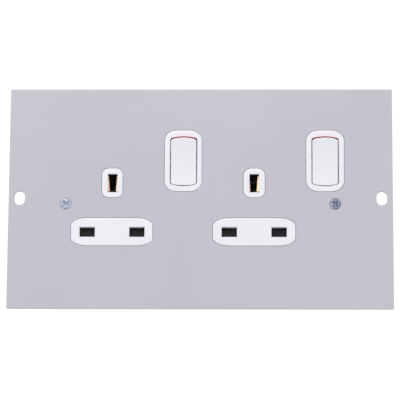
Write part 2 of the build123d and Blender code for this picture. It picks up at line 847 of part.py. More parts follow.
def plunger():
    """Square plunger with a wedge tip that slides along the blade."""
    tip_z = -plunger_reach
    half = plunger_size / 2
    outline = Polygon(
        (half, plunger_length + tip_z),
        (half, tip_z + plunger_taper),
        (plunger_tip_size / 2, tip_z),
        (-plunger_tip_size / 2, tip_z),
        (-half, tip_z + plunger_taper),
        (-half, plunger_length + tip_z),
        align=None,
    )
    return extrude(Plane.YZ * outline, half, both=True)


def plunger_spring():
    """Spring between the plunger and the top of its bore."""
    low = plunger_length - plunger_reach + spring_wire
    length = plunger_spring_length - 2 * spring_wire
    return Pos(0, 0, low) * coil(plunger_size / 2 - plunger_play, length, plunger_spring_turns)


def on_rocker(gang, piece):
    """Piece set in the rocker of a switch, which rests at ON."""
    return Pos(switch_x[gang], rocker_y, pivot_z) * Rot(rocker_tilt, 0, 0) * piece


def shutter(gang):
    """Sliding shutter: a bar behind both pin slots, a stem with the spring window and a ramped nose."""
    x = socket_x[gang]
    z_span = (shutter_bottom_z, shutter_top_z)
    bar = block(around(x, shutter_length), (shutter_bottom_y, shutter_top_y), z_span)
    stem = block(around(x, shutter_stem_width), (shutter_bottom_y, stem_end_y), z_span)
    window = block(around(x, 2 * spring_window_half), shutter_window(), z_span)
    low_z = shutter_bottom_z - shutter_nose_drop
    ramp = Polygon(
        (stem_end_y - shutter_nose_root, shutter_top_z),
        (earth_slot_low_y, shutter_top_z),
        (nose_end_y, low_z + shutter_nose_lip),
        (nose_end_y, low_z),
        (earth_slot_low_y, low_z),
        (stem_end_y, shutter_bottom_z),
        (stem_end_y - shutter_nose_root, shutter_bottom_z),
        align=None,
    )
    nose = Pos(x, 0, 0) * extrude(Plane.YZ * ramp, shutter_nose_width / 2, both=True)
    return bar + stem + nose - window


def shutter_spring(gang):
    """Spring in the stem's window that closes the shutter."""
    low_y = spring_peg_y() + spring_peg_length
    high_y = shutter_window()[1]
    spring = coil(shutter_spring_radius, high_y - low_y - 2 * spring_wire, shutter_spring_turns)
    middle_z = (shutter_bottom_z + shutter_top_z) / 2
    return Pos(socket_x[gang], low_y + spring_wire, middle_z) * Rot(-90, 0, 0) * spring


def shutter_retainer(gang):
    """Plate staked behind the guide, with a window for each pin."""
    x = socket_x[gang]
    low_z = retainer_top_z - retainer_thickness
    z_span = (low_z, retainer_top_z)
    stem_half = shutter_stem_width / 2 + shutter_play + guide_stem_wall - lip_gap
    top_y = channel_top_y + guide_wall - lip_gap
    low_y = case_bottom_y + lip_inset + lip_gap
    plan = block((x - retainer_half, x + retainer_half), (low_y, top_y), z_span)
    plan += block((x - stem_half, x + stem_half), (low_y, stem_end_y - shutter_play), z_span)
    nose_half = shutter_nose_width / 2 + shutter_play
    nose_low_y = stem_end_y - shutter_travel - shutter_play
    plan -= block((x - nose_half, x + nose_half), (nose_low_y, stem_end_y), z_span)
    for side in (-1, 1):
        window_x = around(x + side * pin_spacing / 2, retainer_window[0])
        plan -= block(window_x, around(pin_row_y, retainer_window[1]), z_span)
    for peg_x, peg_y in peg_places:
        size = peg_size + 2 * peg_play
        plan -= block(around(x + peg_x, size), around(peg_y, size), z_span)
    return plan


def save(name, piece):
    """Write one sub-part to its own file."""
    export_step(piece, f"parts/{name}.step")


os.makedirs("parts", exist_ok=True)
save("mounting_plate", mounting_plate())
save("front_moulding", front_moulding())
save("rear_housing", rear_housing())
save("plate_screw_left", plate_screw(-plate_screw_x))
save("plate_screw_right", plate_screw(plate_screw_x))
save("housing_screws", housing_screws())
save("earth_strap", earth_strap())
save("line_busbar", line_busbar())
save("neutral_busbar", neutral_busbar())
for gang in gangs:
    save(f"rocker_{gang}", on_rocker(gang, rocker()))
    save(f"rocker_flag_{gang}", on_rocker(gang, flag_piece()))
    save(f"plunger_{gang}", on_rocker(gang, plunger()))
    save(f"plunger_spring_{gang}", on_rocker(gang, plunger_spring()))
    save(f"contact_blade_{gang}", on_blade(gang, contact_blade()))
    save(f"moving_contact_{gang}", on_blade(gang, moving_contact()))
    save(f"fixed_contact_{gang}", fixed_contact(gang))
    save(f"line_link_{gang}", line_link(gang))
    save(f"line_jaw_{gang}", pin_jaw(line_x[gang]))
    save(f"neutral_jaw_{gang}", pin_jaw(neutral_x[gang]))
    save(f"earth_jaw_{gang}", earth_jaw(gang))
    save(f"shutter_{gang}", shutter(gang))
    save(f"shutter_spring_{gang}", shutter_spring(gang))
    save(f"shutter_retainer_{gang}", shutter_retainer(gang))
save("earth_terminal", terminal_block(earth_terminal_x))
save("earth_terminal_screw", clamp_screw(earth_terminal_x))
save("line_terminal", terminal_block(line_terminal_x))
save("line_terminal_screw", clamp_screw(line_terminal_x))
save("neutral_terminal", terminal_block(neutral_terminal_x))
save("neutral_terminal_screw", clamp_screw(neutral_terminal_x))
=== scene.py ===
from math import pi, radians

import bmesh
import bpy
import numpy as np
from mathutils import Euler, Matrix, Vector
from mathutils.geometry import tessellate_polygon


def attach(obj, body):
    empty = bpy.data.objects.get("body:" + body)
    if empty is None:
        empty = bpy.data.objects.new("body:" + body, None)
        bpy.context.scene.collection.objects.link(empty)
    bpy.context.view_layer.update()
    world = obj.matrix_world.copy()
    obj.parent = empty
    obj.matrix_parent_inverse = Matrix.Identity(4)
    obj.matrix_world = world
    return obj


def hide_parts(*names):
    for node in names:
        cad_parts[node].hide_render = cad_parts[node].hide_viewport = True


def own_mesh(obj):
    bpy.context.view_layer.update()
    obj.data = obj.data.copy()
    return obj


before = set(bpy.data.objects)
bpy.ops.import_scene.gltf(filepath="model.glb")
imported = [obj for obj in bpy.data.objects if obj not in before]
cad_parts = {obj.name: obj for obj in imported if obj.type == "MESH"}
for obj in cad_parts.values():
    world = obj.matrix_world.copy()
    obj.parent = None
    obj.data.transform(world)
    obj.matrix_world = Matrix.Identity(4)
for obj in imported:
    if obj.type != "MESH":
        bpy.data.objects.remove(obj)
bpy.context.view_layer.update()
mm = 0.001

# Camera
# It stands a metre in front of the face and a little below its middle, and looks up at it
# by eleven degrees, so the far walls of the slots show. A long lens keeps the plate square.
view_turn = Euler((radians(-10.986), radians(-1.512), radians(-0.056)), "XYZ").to_matrix()
camera_data = bpy.data.cameras.new("camera")
camera_data.sensor_width = 36
camera_data.lens = 202.5
camera_data.clip_start = 0.05
camera = bpy.data.objects.new("camera", camera_data)
camera.matrix_world = view_turn.transposed().to_4x4()
camera.location = Vector((26.4, -192.6, 1016.2)) * mm
bpy.context.collection.objects.link(camera)
bpy.context.scene.camera = camera

# Mounting plate
# A square-cornered sheet of 1.5 mm steel, punched with an aperture for each boss of the
# moulding and a slot at each end, countersunk for two screws, then coated light grey.
plate_size = (172.0, 100.0)
plate_back, plate_face = 27.0, 28.5
plate_corner = 0.3
plate_edge = 0.16
gang_x = {"left": -39.4, "right": 24.1}
pin_row_y, earth_y, switch_y = -15.4, 6.87, 17.0
switch_shift = 31.75
fixing_slot_x = 81.1
plate_screw_places = {"left": (-60.3, -2.6), "right": (60.3, -2.6)}

# A size in the face's plane is a width, a height and how far a corner reaches along each.
boss_sizes = {
    "pins": (36.3, 12.15, 6.75, 3.0),
    "earth": (9.05, 12.95, 2.9, 2.3),
    "switch": (16.45, 27.6, 4.9, 4.1),
}
fixing_slot_size = (4.85, 6.35, 2.425, 2.425)
countersink_size = (5.2, 5.2, 2.6, 2.6)

# How far the sides of a gang's bosses stand out along X and Y, and their middles lie off.
boss_growth = {"left": (0.1, 0.19, -0.15, 0.07), "right": (0.26, 0.19, 0.0, 0.07)}
corner_growth = 3.2
boss_gap = 0.17


def colour(hex_value):
    """Linear colour of an sRGB hex value, each part through the standard curve."""
    parts = np.array([int(hex_value[i:i + 2], 16) for i in (0, 2, 4)]) / 255
    linear = np.where(parts <= 0.04045, parts / 12.92, ((parts + 0.055) / 1.055) ** 2.4)
    return (*linear.tolist(), 1.0)


def new_finish(name):
    """Material with an empty node tree."""
    material = bpy.data.materials.new(name)
    material.use_nodes = True
    material.node_tree.nodes.clear()
    return material


def add_node(material, kind, values=None, links=None, **settings):
    """Add a node with its properties, its input values and the outputs that feed its inputs."""
    made = material.node_tree.nodes.new(kind)
    for key, value in settings.items():
        setattr(made, key, value)
    for key, value in (values or {}).items():
        made.inputs[key].default_value = value
    for key, source in (links or {}).items():
        material.node_tree.links.new(source, made.inputs[key])
    return made


def outline(centre, size, steps=14, between=0):
    """Closed outline, anticlockwise: a quarter of an ellipse about each corner's own centre, and
    straight sides between them with evenly spaced points. Gives the points and the direction
    straight out at each point."""
    width, height, corner_x, corner_y = size
    across = np.array([[1], [-1], [-1], [1]])
    up = np.array([[1], [1], [-1], [-1]])
    angle = np.linspace(0, pi / 2, steps) + np.arange(4)[:, None] * pi / 2
    x = centre[0] + across * (width / 2 - corner_x) + corner_x * np.cos(angle)
    y = centre[1] + up * (height / 2 - corner_y) + corner_y * np.sin(angle)
    out = np.stack([corner_y * np.cos(angle), corner_x * np.sin(angle)], -1)
    out /= np.linalg.norm(out, axis=2, keepdims=True)
    share = np.linspace(0, 1, between + 2)[None, 1:-1, None]
    pairs = []
    for rows in (np.stack([x, y], -1), out):
        ends = np.roll(rows, -1, 0)[:, :1]
        sides = rows[:, -1:] * (1 - share) + ends * share
        pairs.append(np.concatenate([rows, sides], 1).reshape(-1, 2))
    return pairs


def rounded_wall(low, high, edge, steps=4):
    """Profile of a wall from its low edge to its high edge: a quarter circle sets both edges in.
    Each row is how far the wall stands out, never above zero, and its height."""
    angle = np.linspace(0, pi / 2, steps)
    inset = -edge * (1 - np.sin(angle))
    rise = edge * (1 - np.cos(angle))
    foot = np.stack([inset, low + rise], -1)
    brow = np.stack([inset, high - rise], -1)[::-1]
    return np.concatenate([foot, brow])


def carried(edge, profile):
    """Rings of points: each row of a profile of (out, height) goes once round an outline, moved
    out from it along its outward directions."""
    points, out = edge
    flat = points[None] + out[None] * profile[:, None, None, 0]
    height = np.broadcast_to(profile[:, None, None, 1], flat.shape[:2] + (1,))
    return np.concatenate([flat, height], -1)


def skin(rings, start_cap=False, end_cap=False):
    """Vertices and faces of a skin over rings of points: a band of four-sided faces joins each
    ring to the next, and a cap may close the first or the last ring. Rings that run anticlockwise
    and follow each other upwards give a skin that faces outwards."""
    count, around = rings.shape[:2]
    index = np.arange(count * around).reshape(count, around)
    low, high = index[:-1], index[1:]
    bands = np.stack([low, np.roll(low, -1, 1), np.roll(high, -1, 1), high], -1)
    faces = bands.reshape(-1, 4).tolist()
    if start_cap:
        faces.append(index[0, ::-1].tolist())
    if end_cap:
        faces.append(index[-1].tolist())
    return rings.reshape(-1, 3), faces


def flat_sheet(loops, upwards):
    """Vertices and triangles of a flat sheet with holes, filled between its outer loop and the
    others. A triangle whose turn in the plane is the wrong one is reversed."""
    points = np.concatenate(loops)
    fills = np.array(tessellate_polygon([[Vector(p) for p in loop] for loop in loops]))
    a, b, c = (points[fills[:, k], :2] for k in range(3))
    turn = (b[:, 0] - a[:, 0]) * (c[:, 1] - a[:, 1]) - (b[:, 1] - a[:, 1]) * (c[:, 0] - a[:, 0])
    wrong = turn < 0 if upwards else turn > 0
    fills[wrong] = fills[wrong][:, ::-1]
    return points, fills.tolist()


def mesh_of(name, skins, smooth_below):
    """One mesh from several skins in millimetres, with touching points merged and smooth shading
    across every edge that turns by less than an angle in degrees. All its faces point outwards."""
    starts = np.cumsum([0] + [len(points) for points, faces in skins])
    points = np.concatenate([points for points, faces in skins]) * mm
    faces = [[v + start for v in face] for (_, part), start in zip(skins, starts) for face in part]
    mesh = bpy.data.meshes.new(name)
    mesh.from_pydata(points.tolist(), [], faces)
    shape = bmesh.new()
    shape.from_mesh(mesh)
    bmesh.ops.remove_doubles(shape, verts=shape.verts, dist=1e-7)
    bmesh.ops.recalc_face_normals(shape, faces=shape.faces)
    shape.to_mesh(mesh)
    shape.free()
    mesh.shade_smooth()
    mesh.set_sharp_from_angle(angle=radians(smooth_below))
    return mesh


def add_piece(name, skins, material, body, slot, *nodes, smooth_below=40):
    """Object for the mesh of some skins, with its finish, the body that it rides on and the CAD
    nodes that it stands for."""
    mesh = mesh_of(name, skins, smooth_below)
    mesh.materials.append(material)
    piece = bpy.data.objects.new(name, mesh)
    bpy.context.collection.objects.link(piece)
    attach(piece, body)
    if nodes:
        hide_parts(*nodes)
    return piece


# Polyester powder coat, sprayed and baked: pale cool grey, satin, with a fine orange peel
# that breaks up its reflections and a faint drift in tone across the sheet.
powder_coat = new_finish("grey powder coat")
place = add_node(powder_coat, "ShaderNodeTexCoord")
drift = add_node(
    powder_coat, "ShaderNodeTexNoise", {"Scale": 1 / (55 * mm), "Detail": 3.0},
    {"Vector": place.outputs["Object"]},
)
tone = add_node(powder_coat, "ShaderNodeValToRGB", links={"Fac": drift.outputs["Fac"]})
tone.color_ramp.elements[0].position = 0.35
tone.color_ramp.elements[0].color = colour("C3C2CC")
tone.color_ramp.elements[1].position = 0.65
tone.color_ramp.elements[1].color = colour("C7C6CF")
peel = add_node(
    powder_coat, "ShaderNodeTexNoise", {"Scale": 1 / (0.9 * mm), "Detail": 2.0},
    {"Vector": place.outputs["Object"]},
)
peel_bump = add_node(
    powder_coat, "ShaderNodeBump", {"Strength": 0.35, "Distance": 0.02 * mm},
    {"Height": peel.outputs["Fac"]},
)
sheen_range = add_node(
    powder_coat, "ShaderNodeMapRange", {"To Min": 0.42, "To Max": 0.5},
    {"Value": peel.outputs["Fac"]},
)
coat_shader = add_node(
    powder_coat, "ShaderNodeBsdfPrincipled", {"Specular IOR Level": 0.35},
    {
        "Base Color": tone.outputs["Color"],
        "Roughness": sheen_range.outputs["Result"],
        "Normal": peel_bump.outputs["Normal"],
    },
)
add_node(powder_coat, "ShaderNodeOutputMaterial", links={"Surface": coat_shader.outputs["BSDF"]})


def hole(centre, size):
    """Wall of a punched hole, carried round its outline and listed from the face to the back."""
    profile = rounded_wall(plate_back, plate_face, plate_edge)[::-1] * (-1, 1)
    return carried(outline(centre, size), profile)


def boss_outline(gang, kind, gap=0.0):
    """Centre and size of a boss as it shows in the plate, or of its aperture a gap further out.
    Its corners grow by 3.2 times as much as its sides, which keeps their middles where they are."""
    x = gang_x[gang]
    centres = {
        "pins": (x, pin_row_y), "earth": (x, earth_y), "switch": (x + switch_shift, switch_y),
    }
    width, height, corner_x, corner_y = boss_sizes[kind]
    more_x, more_y, off_x, off_y = boss_growth[gang]
    size = (
        width + 2 * (more_x + gap),
        height + 2 * (more_y + gap),
        corner_x + corner_growth * more_x + gap,
        corner_y + corner_growth * more_y + gap,
    )
    return (centres[kind][0] + off_x, centres[kind][1] + off_y), size


bosses = [(gang, kind) for gang in gang_x for kind in boss_sizes]
holes = [hole(*boss_outline(gang, kind, boss_gap)) for gang, kind in bosses]
holes += [hole((side * fixing_slot_x, 0.0), fixing_slot_size) for side in (-1, 1)]
countersink = np.array([(0.1, plate_face), (0.0, plate_face - 0.08), (-0.7, plate_back)])
for centre in plate_screw_places.values():
    holes.append(carried(outline(centre, countersink_size), countersink))
rim = carried(
    outline((0, 0), (*plate_size, plate_corner, plate_corner), 5),
    rounded_wall(plate_back, plate_face, plate_edge),
)
plate_skins = [skin(rim)] + [skin(rings) for rings in holes]
plate_skins.append(flat_sheet([rim[-1]] + [rings[0] for rings in holes], True))
plate_skins.append(flat_sheet([rim[0]] + [rings[-1] for rings in holes], False))
plate = add_piece(
    "plate_sheet", plate_skins, powder_coat,
    "module", "plate_coat", "mounting_plate", smooth_below=60,
)
even = plate.modifiers.new("even shading", "WEIGHTED_NORMAL")
even.keep_sharp = True

# Front moulding
# One piece of white urea, compression moulded: a skin and rim under the plate, bosses flush
# in its apertures, and the guides of the shutters behind.
boss_land = 28.505
boss_rim_width, boss_rim_low = 0.8, 27.2
opening_top_y = 28.58
opening_bow = 16.75
lip_reach, lip_width, lip_least = 5.3, 0.27, 0.03
lip_back, lip_face = 28.27, 28.495
lip_chamfer = (0.05, 0.055)


def dress(material, *names):
    """Give CAD nodes a finish."""
    for name in names:
        for place_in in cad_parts[name].material_slots:
            place_in.material = material


# Urea moulding: hard cool white with a low polish, a trace of flow in its tone, and pores too
# fine to see that soften its shine. They are drawn 0.5 mm across.
white_urea = new_finish("white urea moulding")
place = add_node(white_urea, "ShaderNodeTexCoord")
flow = add_node(
    white_urea, "ShaderNodeTexNoise", {"Scale": 1 / (12 * mm), "Detail": 4.0},
    {"Vector": place.outputs["Object"]},
)
tone = add_node(white_urea, "ShaderNodeValToRGB", links={"Fac": flow.outputs["Fac"]})
tone.color_ramp.elements[0].position = 0.3
tone.color_ramp.elements[0].color = colour("F1F0F7")
tone.color_ramp.elements[1].position = 0.7
tone.color_ramp.elements[1].color = colour("F3F2FA")
pores = add_node(
    white_urea, "ShaderNodeTexNoise", {"Scale": 1 / (0.5 * mm), "Detail": 2.0},
    {"Vector": place.outputs["Object"]},
)
pore_bump = add_node(
    white_urea, "ShaderNodeBump", {"Strength": 0.25, "Distance": 0.01 * mm},
    {"Height": pores.outputs["Fac"]},
)
polish = add_node(
    white_urea, "ShaderNodeMapRange", {"To Min": 0.26, "To Max": 0.36},
    {"Value": pores.outputs["Fac"]},
)
urea_shader = add_node(
    white_urea, "ShaderNodeBsdfPrincipled", {"Specular IOR Level": 0.4},
    {
        "Base Color": tone.outputs["Color"],
        "Roughness": polish.outputs["Result"],
        "Normal": pore_bump.outputs["Normal"],
    },
)
add_node(white_urea, "ShaderNodeOutputMaterial", links={"Surface": urea_shader.outputs["BSDF"]})
dress(white_urea, "front_moulding")


def boss_rim(centre, size):
    """Crisp rim of a boss, a closed ring that fills its aperture in the plate: a flat land, a small
    round edge and an upright wall, carried along the boss's outline."""
    land = [(-boss_rim_width, boss_land), (-0.1, boss_land)]
    edge = [(-0.03, boss_land - 0.03), (0, boss_land - 0.095)]
    wall = [(0, boss_rim_low), (-boss_rim_width, boss_rim_low)]
    rings = carried(outline(centre, size), np.array(land + edge + wall))
    return skin(np.concatenate([rings, rings[:1]]))


def opening_lip(x_middle):
    """Lip across the upper end of a switch opening, flush with the face, which narrows the gap
    over the rocker. Its outer edge lies on the arc of the bowed end, and its width falls from the
    middle to both ends as half an ellipse, down to a least width."""
    x = np.linspace(-lip_reach, lip_reach, 41)
    wall = opening_top_y - opening_bow + np.sqrt(opening_bow**2 - x**2)
    lip = wall - lip_least - lip_width * np.sqrt(1 - (x / (lip_reach + 0.01)) ** 2)
    columns = [
        (lip, lip_back), (lip, lip_face - lip_chamfer[1]), (lip + lip_chamfer[0], lip_face),
        (wall, lip_face), (wall, lip_back),
    ]
    points = [np.stack([x + x_middle, y, np.full(len(x), z)], -1) for y, z in columns]
    return skin(np.stack(points, 1), True, True)


for gang, x in gang_x.items():
    rims = [boss_rim(*boss_outline(gang, kind)) for kind in boss_sizes]
    add_piece(f"boss_rims_{gang}", rims, white_urea, "module", "white_moulding")
    lip = [opening_lip(x + switch_shift)]
    add_piece(f"opening_lip_{gang}", lip, white_urea, "module", "white_moulding")

# Plate screws
# Two M3.5 countersunk screws with a cross recess, cold headed from steel wire and zinc plated.
# They hold the plate to the earth strap behind the moulding.
head_radius, head_crown, head_rim_z = 2.42, 0.14, 0.02
recess_length, recess_width, recess_depth = 3.1, 0.75, 0.6
recess_ramp, recess_end_slope, recess_rim_share = 0.12, 0.6, 0.45
recess_turn = {"left": radians(45), "right": radians(52)}
shank_profile = np.array(
    [(0.01, -7.4), (1.45, -7.4), (1.7, -7.1), (1.7, -1.3), (2.44, -0.12), (2.5, -0.04)]
)

# Bright zinc plate, blue passivated: cool and pale, with a soft grain from the plating barrel.
zinc_plate = new_finish("blue zinc plate")
place = add_node(zinc_plate, "ShaderNodeTexCoord")
grain = add_node(
    zinc_plate, "ShaderNodeTexNoise", {"Scale": 1 / (1.1 * mm), "Detail": 5.0},
    {"Vector": place.outputs["Object"]},
)
tone = add_node(zinc_plate, "ShaderNodeValToRGB", links={"Fac": grain.outputs["Fac"]})
tone.color_ramp.elements[0].position = 0.3
tone.color_ramp.elements[0].color = colour("6B7184")
tone.color_ramp.elements[1].position = 0.7
tone.color_ramp.elements[1].color = colour("B9BFCD")
grain_bump = add_node(
    zinc_plate, "ShaderNodeBump", {"Strength": 0.5, "Distance": 0.05 * mm},
    {"Height": grain.outputs["Fac"]},
)
worn = add_node(
    zinc_plate, "ShaderNodeMapRange", {"To Min": 0.5, "To Max": 0.64},
    {"Value": grain.outputs["Fac"]},
)
zinc_shader = add_node(
    zinc_plate, "ShaderNodeBsdfPrincipled", {"Metallic": 1.0},
    {
        "Base Color": tone.outputs["Color"],
        "Roughness": worn.outputs["Result"],
        "Normal": grain_bump.outputs["Normal"],
    },
)
add_node(zinc_plate, "ShaderNodeOutputMaterial", links={"Surface": zinc_shader.outputs["BSDF"]})

# The right screw's zinc is painted a darker grey blue, a painted shade for the darker reflection
# its head shows.
shaded_zinc_plate = zinc_plate.copy()
shaded_zinc_plate.name = "zinc plate with painted shade"
grey = shaded_zinc_plate.node_tree.nodes["Color Ramp"].color_ramp
grey.elements[0].color = colour("494C5E")
grey.elements[1].color = colour("9FA2B4")


def cross_head(turn, steps=40, around=120):
    """Rings of a screw head's top from its rim to its middle. The height falls from the middle as
    the square of the radius. The recess is the deeper of two crossed bars, whose floor ramps down
    from their sides and, less steeply, from their ends. Its depth grows evenly towards the middle,
    from a share of it where the bars end."""
    share = np.linspace(1, 0.02, steps)[:, None]
    angle = np.linspace(0, 2 * pi, around, endpoint=False)[None]
    x, y = head_radius * share * np.cos(angle), head_radius * share * np.sin(angle)
    along = x * np.cos(turn) + y * np.sin(turn)
    across = y * np.cos(turn) - x * np.sin(turn)
    half_length, half_width = recess_length / 2, recess_width / 2
    inside = [
        np.minimum(half_width - np.abs(a), (half_length - np.abs(b)) * recess_end_slope)
        for a, b in ((along, across), (across, along))
    ]
    sunk = np.clip(np.maximum(*inside) / recess_ramp, 0, 1)
    inwards = np.clip(1 - np.hypot(x, y) / half_length, 0, 1)
    depth = recess_depth * (recess_rim_share + (1 - recess_rim_share) * inwards)
    z = head_rim_z + head_crown * (1 - share**2) - sunk * depth
    return np.stack([x, y, z], -1)


def turned(profile, around=120):
    """Rings of a turned form: each row of a profile of (radius, height) is swept round the axis."""
    angle = np.linspace(0, 2 * pi, around, endpoint=False)[None]
    radius, height = profile[:, :1], profile[:, 1:]
    return np.stack([radius * np.cos(angle), radius * np.sin(angle), height + 0 * angle], -1)


for side, (x, y) in plate_screw_places.items():
    screw = np.concatenate([turned(shank_profile), cross_head(recess_turn[side])])
    # The right screw takes the zinc with painted shade.
    add_piece(
        f"cross_screw_{side}", [skin(screw + (x, y, plate_face), True, True)],
        zinc_plate if side == "left" else shaded_zinc_plate,
        "module", "zinc_steel", f"plate_screw_{side}", smooth_below=50,
    )

# Rockers
# White gloss caps that tilt on two trunnions in the moulding. Each has a dished face, bowed
# ends and soft edges, and stands at ON with its upper end proud.
rocker_plan = (11.5, 21.7, 5.5, 1.5)
rocker_pivot_z = 25.0
rocker_tilt = radians(6.5)

# Heights of a rocker's parts are above its pivot.
tip_z, roof_z, wall_low_z, skirt_z = 4.44, 2.3, -1.1, -1.5
face_dish = 0.74
face_round, skirt_round = 0.3, 0.1
rocker_wall = 1.4
upper_bulge, lower_hollow, lower_trim = 0.38, 0.3, 0.14
stem_plan = (5.0, 5.0, 0.4, 0.4)
stem_low, stem_high, stem_edge = -5.0, 2.4, 0.15
trunnion_profile = np.array([(1.5, 4.6), (1.5, 7.0), (1.38, 7.15), (0.02, 7.15)])
insert_low, insert_high = 1.2, 4.08
insert_proud, insert_depth, insert_reach = 0.02, 0.7, 1.0


def into_end(distance):
    """How far a distance along a rocker lies into its rounded end, as a share of that end."""
    length, end = rocker_plan[1], rocker_plan[3]
    return np.clip((distance - length / 2 + end) / end, 0, 1)


def end_bulge(points):
    """Offsets along Y that make the upper end bulge and the lower end hollow: half a sine wave
    over the height, times the root of the share of the end, so none where it meets the sides."""
    rise = np.clip((points[..., 2] - skirt_z) / (tip_z - face_round - skirt_z), 0, 1)
    amount = np.where(points[..., 1] > 0, upper_bulge, lower_hollow)
    lift = amount * np.sin(pi * rise) * np.sqrt(into_end(np.abs(points[..., 1])))
    return np.stack([0 * lift, lift, 0 * lift], -1)


def rocker_cap():
    """Cap about its pivot. From the roof of its hollow the rings run down the inside, round the
    skirt, up the outside, over a quarter-round edge and in to the middle. The face's height falls
    from its ends to its middle with the square of the distance along it. The outside bulges at the
    upper end and is hollow at the lower end, which is trimmed back a little."""
    edge = outline((0, 0), rocker_plan, 20, 17)
    skirt = [
        (-rocker_wall, roof_z), (-rocker_wall, skirt_z + skirt_round),
        (skirt_round - rocker_wall, skirt_z), (-skirt_round, skirt_z), (0, skirt_z + skirt_round),
    ]
    wall = [(0, z) for z in np.linspace(wall_low_z, tip_z - face_round, 12)[:-1]]
    side = carried(edge, np.array(skirt + wall))
    side[len(skirt):] += end_bulge(side[len(skirt):])
    angle = np.linspace(pi / 2, 0, 7)
    drop = [-face_round * (1 - np.sin(angle)), -face_round * (1 - np.cos(angle))]
    brow = carried(edge, np.stack(drop, -1))
    share = np.linspace(1, 0.03, 14)[1:, None, None]
    face = brow[-1:] * np.concatenate([share, share, share * 0], -1)
    top = np.concatenate([brow, face])
    top[..., 2] += tip_z - face_dish * (1 - (top[..., 1] / (rocker_plan[1] / 2)) ** 2)
    rings = np.concatenate([side, top])
    rings[..., 1] += lower_trim * into_end(-rings[..., 1])
    return skin(rings, True, True)


def rocker_stem():
    """Square bar under the roof, with rounded ends, in which the plunger slides."""
    wall = rounded_wall(stem_low, stem_high, stem_edge)
    return skin(carried(outline((0, 0), stem_plan), wall), True, True)


def trunnion(side):
    """Round pin out of one side wall, its outer end rounded: turned, then laid along X."""
    rings = turned(trunnion_profile, 40)[..., [2, 0, 1]]
    points, faces = skin(rings, True, True)
    return points * (side, side, 1), faces


def end_insert():
    """Curved strip across the upper end of the cap: a section, from a little outside the cap's
    bulged end to 0.7 mm inside it, is carried along the last millimetre of the outline, and
    closed at both ends."""
    points, out = outline((0, 0), rocker_plan, 20)
    end = points[:, 1] > rocker_plan[1] / 2 - insert_reach
    front = [(insert_proud, z) for z in np.linspace(insert_low, insert_high, 7)]
    section = np.array(front + [(-insert_depth, insert_high), (-insert_depth, insert_low)])
    flat = points[end][:, None] + out[end][:, None] * section[None, :, :1]
    height = np.broadcast_to(section[None, :, 1:], flat.shape[:2] + (1,))
    rings = np.concatenate([flat, height], -1)
    rings[:, :len(front)] += end_bulge(rings[:, :len(front)])
    return skin(rings, True, True)


def on_pivot(skins, gang):
    """Skins turned about the X axis to ON, with their origin put on the pivot of a rocker."""
    sine, cosine = np.sin(rocker_tilt), np.cos(rocker_tilt)
    turn = np.array([[1, 0, 0], [0, cosine, -sine], [0, sine, cosine]])
    pivot = (gang_x[gang] + switch_shift, switch_y, rocker_pivot_z)
    return [(points @ turn.T + pivot, faces) for points, faces in skins]


# Polycarbonate, injection moulded in a polished tool: bright white with a clear gloss and the
# faint long waves of a moulded face.
gloss_white = new_finish("white polycarbonate")
place = add_node(gloss_white, "ShaderNodeTexCoord")
waves = add_node(
    gloss_white, "ShaderNodeTexNoise", {"Scale": 1 / (6 * mm), "Detail": 2.0},
    {"Vector": place.outputs["Object"]},
)
tone = add_node(gloss_white, "ShaderNodeValToRGB", links={"Fac": waves.outputs["Fac"]})
tone.color_ramp.elements[0].position = 0.3
tone.color_ramp.elements[0].color = colour("F3F2FA")
tone.color_ramp.elements[1].position = 0.7
tone.color_ramp.elements[1].color = colour("F4F3FB")
wave_bump = add_node(
    gloss_white, "ShaderNodeBump", {"Strength": 0.2, "Distance": 0.05 * mm},
    {"Height": waves.outputs["Fac"]},
)
shine = add_node(
    gloss_white, "ShaderNodeMapRange", {"To Min": 0.16, "To Max": 0.24},
    {"Value": waves.outputs["Fac"]},
)
gloss_shader = add_node(
    gloss_white, "ShaderNodeBsdfPrincipled", {"Specular IOR Level": 0.5},
    {
        "Base Color": tone.outputs["Color"],
        "Roughness": shine.outputs["Result"],
        "Normal": wave_bump.outputs["Normal"],
    },
)
add_node(gloss_white, "ShaderNodeOutputMaterial", links={"Surface": gloss_shader.outputs["BSDF"]})

# Red insert: the same plastic in signal red, with pigment flecks of 0.3 mm.
flag_red = new_finish("red polycarbonate")
place = add_node(flag_red, "ShaderNodeTexCoord")
flecks = add_node(
    flag_red, "ShaderNodeTexNoise", {"Scale": 1 / (0.3 * mm), "Detail": 3.0},
    {"Vector": place.outputs["Object"]},
)
tone = add_node(flag_red, "ShaderNodeValToRGB", links={"Fac": flecks.outputs["Fac"]})
tone.color_ramp.elements[0].color = colour("EA4A58")
tone.color_ramp.elements[1].color = colour("F26672")
red_shader = add_node(
    flag_red, "ShaderNodeBsdfPrincipled", {"Roughness": 0.3},
    {"Base Color": tone.outputs["Color"]},
)
add_node(flag_red, "ShaderNodeOutputMaterial", links={"Surface": red_shader.outputs["BSDF"]})

for gang in gang_x:
    cap = on_pivot([rocker_cap(), trunnion(-1), trunnion(1), rocker_stem()], gang)
    add_piece(
        f"rocker_cap_{gang}", cap, gloss_white,
        f"{gang}_rocker", "switch_white", f"rocker_{gang}",
    )
    add_piece(
        f"red_insert_{gang}", on_pivot([end_insert()], gang), flag_red,
        f"{gang}_rocker", "flag_red", f"rocker_flag_{gang}",
    )

# Plungers and their springs
# A square plastic plunger slides in each rocker's stem. A spring of round wire behind it
# presses its wedge tip on the blade, which throws the blade over as the rocker tilts.
spring_wire = 0.3
plunger_coil_radius, plunger_coil_turns = 1.2, 5
plunger_coil_low_z, plunger_coil_length = -2.0, 3.4


